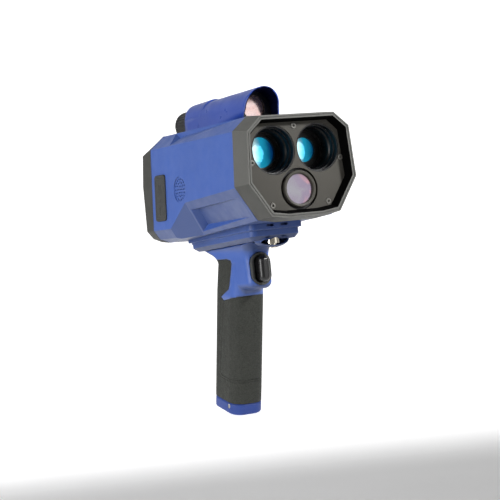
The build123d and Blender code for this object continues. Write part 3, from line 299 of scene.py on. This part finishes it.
def grip_rubber():
    g = Graph("grip_stippled_rubber")
    base = lin(34, 35, 32)
    tone = g.noise(22.0, 3.0, 0.55)
    col = g.mix(g.rng(tone, 0.3, 0.7, 0.0, 1.0), scaled(base, 0.90), scaled(base, 1.12))
    pit = g.voronoi(950.0, "F1")
    col = g.mix(g.rng(pit, 0.15, 0.6, 0.0, 0.55), scaled(base, 2.3), col)
    col = g.mix(g.rng(g.noise(700.0, 2.0), 0.35, 0.5, 0.35, 0.0), col, scaled(base, 0.5))
    g.link(col, g.bsdf.inputs["Base Color"])
    g.link(g.rng(g.noise(300.0, 2.0), 0.3, 0.7, 0.50, 0.66), g.bsdf.inputs["Roughness"])
    g.bsdf.inputs["Specular IOR Level"].default_value = 0.16
    nrm = g.bump(g.noise(700.0, 3.0, 0.65), 0.00055, 1.0)
    nrm = g.bump(pit, 0.00012, 1.0, nrm)
    g.link(nrm, g.bsdf.inputs["Normal"])
    return g.mat


MAT["grip_rubber"] = grip_rubber()


def coated_lens_painted_reflection(name, cx, cz, r, lit, mid, deep, rough=0.06, glow=0.0):
    """Coated objective: a painted highlight and painted reflection run as colour from pale cyan to deep blue across
    the curved face, with an optional painted glow.
    """
    g = Graph(name)
    sub = g.node("ShaderNodeVectorMath", operation="SUBTRACT")
    sub.inputs[1].default_value = (cx, 0.0, cz)
    g.link(g.coord, sub.inputs[0])
    sep = g.node("ShaderNodeSeparateXYZ")
    g.link(sub.outputs["Vector"], sep.inputs["Vector"])
    warp = g.rng(g.noise(90.0, 2.0), 0.2, 0.8, -0.12, 0.12)
    t = g.math("ADD", g.math("MULTIPLY", sep.outputs["X"], 1.0 / r), warp)
    ramp = g.node("ShaderNodeValToRGB")
    cr = ramp.color_ramp
    cr.interpolation = "EASE"
    cr.elements[0].position, cr.elements[0].color = 0.30, lit
    cr.elements[1].position, cr.elements[1].color = 0.92, deep
    e = cr.elements.new(0.55)
    e.color = mid
    g.link(g.rng(t, -1.0, 1.0, 0.0, 1.0), ramp.inputs["Fac"])
    g.link(ramp.outputs["Color"], g.bsdf.inputs["Base Color"])
    g.link(ramp.outputs["Color"], g.bsdf.inputs["Emission Color"])
    g.bsdf.inputs["Emission Strength"].default_value = glow
    g.bsdf.inputs["Metallic"].default_value = 0.6
    g.link(g.rng(g.noise(180.0, 2.0), 0.3, 0.7, rough, rough + 0.04), g.bsdf.inputs["Roughness"])
    g.bsdf.inputs["Coat Weight"].default_value = 1.0
    g.bsdf.inputs["Coat Roughness"].default_value = 0.02
    g.link(g.bump(g.noise(25.0, 1.0), 0.00004), g.bsdf.inputs["Normal"])
    return g


# painted reflection: pale cyan highlight, cyan middle and deep blue dark side laid across each objective; the two main
# objectives also glow as painted light
LIT, MID, DEEP = (0.66, 0.98, 1.0, 1.0), (0.02, 0.60, 0.95, 1.0), (0.0, 0.06, 0.24, 1.0)
MAT["transmit_glass"] = coated_lens_painted_reflection("transmit_coating_painted_reflection", -0.0237, 0.0896, 0.0172, LIT, MID, DEEP, glow=0.38).mat
MAT["receive_glass"] = coated_lens_painted_reflection("receive_coating_painted_reflection", 0.0237, 0.0896, 0.0172, LIT, MID, DEEP, glow=0.38).mat
MAT["camera_lens_glass"] = coated_lens_painted_reflection("camera_lens_coating_painted_reflection", 0.0, 0.0524, 0.0115, lin(60, 40, 90), lin(30, 24, 52), lin(10, 10, 20)).mat


def tinted_glass(name, cols, scale, rough=0.08, metallic=0.6, spec=0.7):
    """Window or sight glass whose thin coating drifts between a few tints."""
    g = Graph(name)
    n1 = g.noise(scale, 2.0, 0.5, 0.6)
    ramp = g.node("ShaderNodeValToRGB")
    cr = ramp.color_ramp
    cr.interpolation = "EASE"
    cr.elements[0].position, cr.elements[0].color = 0.30, cols[0]
    cr.elements[1].position, cr.elements[1].color = 0.72, cols[-1]
    for i, c in enumerate(cols[1:-1]):
        e = cr.elements.new(0.30 + 0.42 * (i + 1) / (len(cols) - 1))
        e.color = c
    g.link(n1, ramp.inputs["Fac"])
    g.link(ramp.outputs["Color"], g.bsdf.inputs["Base Color"])
    g.bsdf.inputs["Metallic"].default_value = metallic
    g.bsdf.inputs["Specular IOR Level"].default_value = spec
    g.bsdf.inputs["Coat Weight"].default_value = 0.6
    g.bsdf.inputs["Coat Roughness"].default_value = 0.03
    g.link(g.rng(g.noise(160.0, 2.0), 0.3, 0.7, rough, rough + 0.08), g.bsdf.inputs["Roughness"])
    g.link(g.bump(g.noise(40.0, 1.0), 0.00003), g.bsdf.inputs["Normal"])
    return g.mat


MAT["window_glass"] = tinted_glass("camera_window", [lin(134, 132, 140), lin(126, 114, 134), lin(180, 132, 138)], 45.0, 0.12, 0.8)
MAT["sight_glass"] = tinted_glass("sight_coating", [lin(232, 204, 198), lin(226, 192, 186), lin(238, 212, 208)], 40.0, 0.14, 0.8)
MAT["display_black"] = tinted_glass("display_window", [lin(14, 17, 20), lin(18, 22, 27), lin(24, 28, 33)], 30.0, 0.05, 0.0)

# ---------------------------------------------------------------------------
# materials and small edge rounding on the carried-over nodes
# ---------------------------------------------------------------------------
slot_of = {s["node"]: s["material_slot"] for s in frame["record"]["subparts"]}
special = {"transmit_lens": "transmit_glass", "receive_lens": "receive_glass", "camera_lens": "camera_lens_glass",
           "sight_housing": "sight_blue_shaded", "camera_window_ring": "plate_grey", "rear_bezel": "rear_rubber_shaded", "bottom_cap": "cap_blue_shaded",
           "base_flange": "base_blue_shaded", "base_plate": "base_blue_shaded"}
for name, ob in NODES.items():
    m = MAT[special.get(name, slot_of[name])]
    ob.data.materials.clear()
    ob.data.materials.append(m)

for name, gap in (("sight_housing", 0.00022), ("handle_shell", 0.00002), ("grip_sleeve", 0.00002)):
    ob = NODES[name]
    wd = ob.modifiers.new("weld", "WELD")
    wd.merge_threshold = gap
    wn = ob.modifiers.new("flat", "WEIGHTED_NORMAL")
    wn.mode = "FACE_AREA"
    wn.weight = 100

ROUND = {"front_bezel": 0.40, "rear_bezel": 0.45, "base_flange": 0.35, "camera_window_ring": 0.18}
for name, w in ROUND.items():
    ob = NODES[name]
    wd = ob.modifiers.new("weld", "WELD")
    wd.merge_threshold = 0.000002
    bv = ob.modifiers.new("round", "BEVEL")
    bv.width = w / 1000.0
    bv.segments = 2
    bv.limit_method = "ANGLE"
    bv.angle_limit = math.radians(32)
    bv.use_clamp_overlap = True
    wn = ob.modifiers.new("flat", "WEIGHTED_NORMAL")
    wn.mode = "FACE_AREA"
    wn.weight = 100


# ---------------------------------------------------------------------------
# small raised marks: a border and two bars on the port cover, a plain symbol on each key
# ---------------------------------------------------------------------------
def rounded_loop(w, h, r, n=6):
    pts = []
    for cx, cy, a0 in ((w / 2 - r, h / 2 - r, 0), (-w / 2 + r, h / 2 - r, 90), (-w / 2 + r, -h / 2 + r, 180), (w / 2 - r, -h / 2 + r, 270)):
        for i in range(n + 1):
            a = math.radians(a0 + 90.0 * i / n)
            pts.append((cx + r * math.cos(a), cy + r * math.sin(a)))
    return pts


def raised(name, shapes, origin, ux, uy, un, height, body, mat, sink=0.00015):
    """Raised relief from closed outlines: each shape is (outer, inner or None), with softened top edges."""
    bm = bmesh.new()

    def ring(pts, h):
        return [bm.verts.new(origin + ux * u + uy * v + un * h) for u, v in pts]

    def shrink(pts, k):
        n, out = len(pts), []
        for i in range(n):
            a, b, c = Vector(pts[i - 1]), Vector(pts[i]), Vector(pts[(i + 1) % n])
            d0, d1 = (b - a).normalized(), (c - b).normalized()
            nrm = Vector((-(d0.y + d1.y), d0.x + d1.x)).normalized()
            out.append(tuple(b + nrm * k))
        return out

    def strip(a, b):
        for i in range(len(a)):
            j = (i + 1) % len(a)
            bm.faces.new((a[i], a[j], b[j], b[i]))

    for outer, inner in shapes:
        soft = height * 0.35
        o0, o1, o2 = ring(outer, -sink), ring(outer, height - soft), ring(shrink(outer, soft), height)
        strip(o0, o1)
        strip(o1, o2)
        if inner is None:
            bm.faces.new(o2)
            bm.faces.new(o0[::-1])
        else:
            i0, i1, i2 = ring(inner, -sink), ring(inner, height - soft), ring(shrink(inner, -soft), height)
            strip(o2, i2)
            strip(i2, i1)
            strip(i1, i0)
            strip(i0, o0)
    bmesh.ops.recalc_face_normals(bm, faces=bm.faces)
    me = bpy.data.meshes.new(name)
    bm.to_mesh(me)
    bm.free()
    ob = bpy.data.objects.new(name, me)
    bpy.context.scene.collection.objects.link(ob)
    me.materials.append(mat)
    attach(ob, body)
    return ob


SIDE_K = 5.0 / 82.5
side_n = Vector((-1.0, 0.0, SIDE_K)).normalized()
side_u = Vector((0.0, 1.0, 0.0))
side_v = side_n.cross(side_u)
if side_v.z < 0:
    side_v = -side_v
pc_lo, pc_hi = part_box("port_cover")
pc = Vector((0.0, (0.1695 + 0.1930) / 2 - 0.071, 0.031 + 0.0288))
pc.x = -(0.057 + (0.081 - 0.031) * SIDE_K)
pc_face = pc + side_n * 0.0014
W, H = 0.0235, 0.0460


def shifted(pts, du, dv):
    return [(u + du, v + dv) for u, v in pts]


raised("port_cover_border", [(rounded_loop(W - 0.0044, H - 0.0060, 0.0024), rounded_loop(W - 0.0060, H - 0.0076, 0.0017))],
       pc_face, side_u, side_v, side_n, 0.00012, "port_cover", MAT["cover_rubber"])
raised("port_cover_marks", [(shifted(rounded_loop(0.0032, 0.0090, 0.0008), 0.0022, 0.0088), None),
                            (shifted(rounded_loop(0.0016, 0.0090, 0.0006), -0.0022, 0.0088), None),
                            (shifted(rounded_loop(0.0042, 0.0042, 0.0020, 8), 0.0010, -0.0030), shifted(rounded_loop(0.0026, 0.0026, 0.0012, 8), 0.0010, -0.0030)),
                            (shifted(rounded_loop(0.0030, 0.0086, 0.0008), 0.0010, -0.0128), shifted(rounded_loop(0.0016, 0.0072, 0.0006), 0.0010, -0.0128))],
       pc_face, side_u, side_v, side_n, 0.00024, "port_cover", MAT["cover_rubber"])

mark = moulded("key_mark_white", lin(206, 208, 210), rough=0.5, var=0.04, patch=200.0, grain=2200.0, depth=0.00001)


def arc_band(r0, r1, a0, a1, n=20):
    angs = [math.radians(a0 + (a1 - a0) * i / n) for i in range(n + 1)]
    return [(r1 * math.cos(a), r1 * math.sin(a)) for a in angs] + [(r0 * math.cos(a), r0 * math.sin(a)) for a in reversed(angs)]


ICONS = {
    "key_power": [(arc_band(0.00165, 0.00215, 125, 415), None), (shifted(rounded_loop(0.0005, 0.0022, 0.0002, 3), 0, 0.0016), None)],
    "key_menu": [(shifted(rounded_loop(0.0042, 0.0006, 0.00028, 3), 0, k), None) for k in (0.0014, 0.0, -0.0014)],
    "key_minus": [(rounded_loop(0.0040, 0.0007, 0.0003, 3), None)],
    "key_plus": [([(0.0020, 0.00035), (0.00035, 0.00035), (0.00035, 0.0020), (-0.00035, 0.0020), (-0.00035, 0.00035), (-0.0020, 0.00035),
                   (-0.0020, -0.00035), (-0.00035, -0.00035), (-0.00035, -0.0020), (0.00035, -0.0020), (0.00035, -0.00035), (0.0020, -0.00035)], None)],
}
for key, shapes in ICONS.items():
    klo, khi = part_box(key)
    klo, khi = Vector(klo), Vector(khi)
    at = Vector(((klo.x + khi.x) / 2, khi.y, (klo.z + khi.z) / 2))
    raised(key + "_symbol", shapes, at, Vector((-1, 0, 0)), Vector((0, 0, 1)), Vector((0, 1, 0)), 0.00012, key, mark, 0.00006)

# ---------------------------------------------------------------------------
# studio
# ---------------------------------------------------------------------------
FLOOR_Z = cad_lo.z - 0.0005


def sweep():
    """Floor that curves up into a backdrop behind and beside the object."""
    bm = bmesh.new()
    rings, seg = [], 96
    prof = [(0.0, 0.0), (0.6, 0.0), (1.2, 0.0), (1.8, 0.0), (2.4, 0.02), (2.9, 0.12), (3.3, 0.34), (3.55, 0.7), (3.68, 1.2), (3.72, 2.0), (3.72, 4.2)]
    for r, z in prof[1:]:
        rings.append([bm.verts.new((r * math.cos(2 * math.pi * i / seg), r * math.sin(2 * math.pi * i / seg), FLOOR_Z + z)) for i in range(seg)])
    c = bm.verts.new((0, 0, FLOOR_Z))
    for i in range(seg):
        bm.faces.new((c, rings[0][i], rings[0][(i + 1) % seg]))
        for a, b in zip(rings, rings[1:]):
            bm.faces.new((a[i], b[i], b[(i + 1) % seg], a[(i + 1) % seg]))
    me = bpy.data.meshes.new("studio_floor")
    bm.to_mesh(me)
    bm.free()
    for p in me.polygons:
        p.use_smooth = True
    ob = bpy.data.objects.new("studio_floor", me)
    bpy.context.scene.collection.objects.link(ob)
    return ob


floor = sweep()
fg = Graph("studio_paper")
sep = fg.node("ShaderNodeSeparateXYZ")
fg.link(fg.coord, sep.inputs["Vector"])
depth_in = fg.math("ADD", fg.math("MULTIPLY", sep.outputs["X"], 0.4745), fg.math("MULTIPLY", sep.outputs["Y"], 0.880))
fg.link(fg.mix(fg.rng(fg.noise(6.0, 3.0), 0.3, 0.7, 0.0, 1.0), (0.80, 0.80, 0.80, 1), (0.83, 0.83, 0.83, 1)), fg.bsdf.inputs["Base Color"])
fg.bsdf.inputs["Roughness"].default_value = 0.95
fg.bsdf.inputs["Specular IOR Level"].default_value = 0.1
fg.bsdf.inputs["Emission Color"].default_value = (1.0, 1.0, 1.0, 1.0)
across = fg.math("ABSOLUTE", fg.math("SUBTRACT", fg.math("MULTIPLY", sep.outputs["X"], 0.880), fg.math("MULTIPLY", sep.outputs["Y"], 0.4745)))
spread = fg.math("DIVIDE", across, fg.math("ADD", depth_in, 1.53))
glow = fg.math("MULTIPLY", fg.rng(spread, 0.17, 0.52, 0.70, 0.0, True), fg.rng(depth_in, -0.40, -0.12, 0.0, 1.0, True))
glow = fg.math("MULTIPLY", glow, fg.rng(sep.outputs["Z"], 0.95, 1.6, 1.0, 0.0, True))
fg.link(fg.math("ADD", glow, fg.rng(depth_in, -0.5, 1.5, 0.02, 0.22, True)), fg.bsdf.inputs["Emission Strength"])
floor.data.materials.append(fg.mat)

world = bpy.data.worlds.new("studio")
bpy.context.scene.world = world
world.use_nodes = True
world.node_tree.nodes["Background"].inputs["Color"].default_value = (1.0, 1.0, 1.0, 1.0)
world.node_tree.nodes["Background"].inputs["Strength"].default_value = 0.12


def area(name, loc, target, size, power, color=(1, 1, 1)):
    li = bpy.data.lights.new(name, "AREA")
    li.shape = "RECTANGLE"
    li.size, li.size_y = size
    li.energy = power
    li.color = color
    ob = bpy.data.objects.new(name, li)
    ob.location = loc
    d = (Vector(target) - Vector(loc)).normalized()
    ob.rotation_mode = "QUATERNION"
    ob.rotation_quaternion = d.to_track_quat("-Z", "Y")
    bpy.context.scene.collection.objects.link(ob)
    return ob


area("left_soft", (-1.7, -0.35, 0.35), (0, 0.05, 0.03), (1.1, 1.1), 9.0).data.spread = math.radians(95)
area("front_card", (0.74, -1.36, 0.10), (0, -0.05, 0.08), (0.75, 0.75), 2.0)

sp = bpy.data.lights.new("front_soft", "SPOT")
sp.energy = 270.0
sp.spot_size = math.radians(11.0)
sp.spot_blend = 0.55
sp.shadow_soft_size = 0.16
spo = bpy.data.objects.new("front_soft", sp)
spo.location = (0.92, -1.10, 0.80)
spo.rotation_mode = "QUATERNION"
spo.rotation_quaternion = (Vector((0.0, -0.05, 0.085)) - Vector(spo.location)).normalized().to_track_quat("-Z", "Y")
bpy.context.scene.collection.objects.link(spo)

area("top_soft", (-0.3, 0.1, 1.7), (0, 0.05, 0.05), (1.0, 1.0), 3.5)

# camera at the photograph's viewing angle
AZ, EL, ROLL = math.radians(-28.33), math.radians(0.4), math.radians(5.61)
back = Vector((math.sin(AZ) * math.cos(EL), -math.cos(AZ) * math.cos(EL), math.sin(EL)))
fwd = -back
right = fwd.cross(Vector((0, 0, 1))).normalized()
upc = right.cross(fwd)
R = math.cos(ROLL) * right - math.sin(ROLL) * upc
U = math.sin(ROLL) * right + math.cos(ROLL) * upc
cam_data = bpy.data.cameras.new("camera")
cam_data.sensor_width = 36.0
cam_data.lens = 115.2
cam_data.clip_start, cam_data.clip_end = 0.05, 50.0
cam = bpy.data.objects.new("camera", cam_data)
cam.matrix_world = Matrix(((R.x, U.x, back.x, -0.7469), (R.y, U.y, back.y, -1.3398), (R.z, U.z, back.z, 0.0108), (0, 0, 0, 1)))
bpy.context.scene.collection.objects.link(cam)
bpy.context.scene.camera = cam
bpy.context.scene.view_settings.view_transform = "Standard"
bpy.context.scene.view_settings.look = "None"
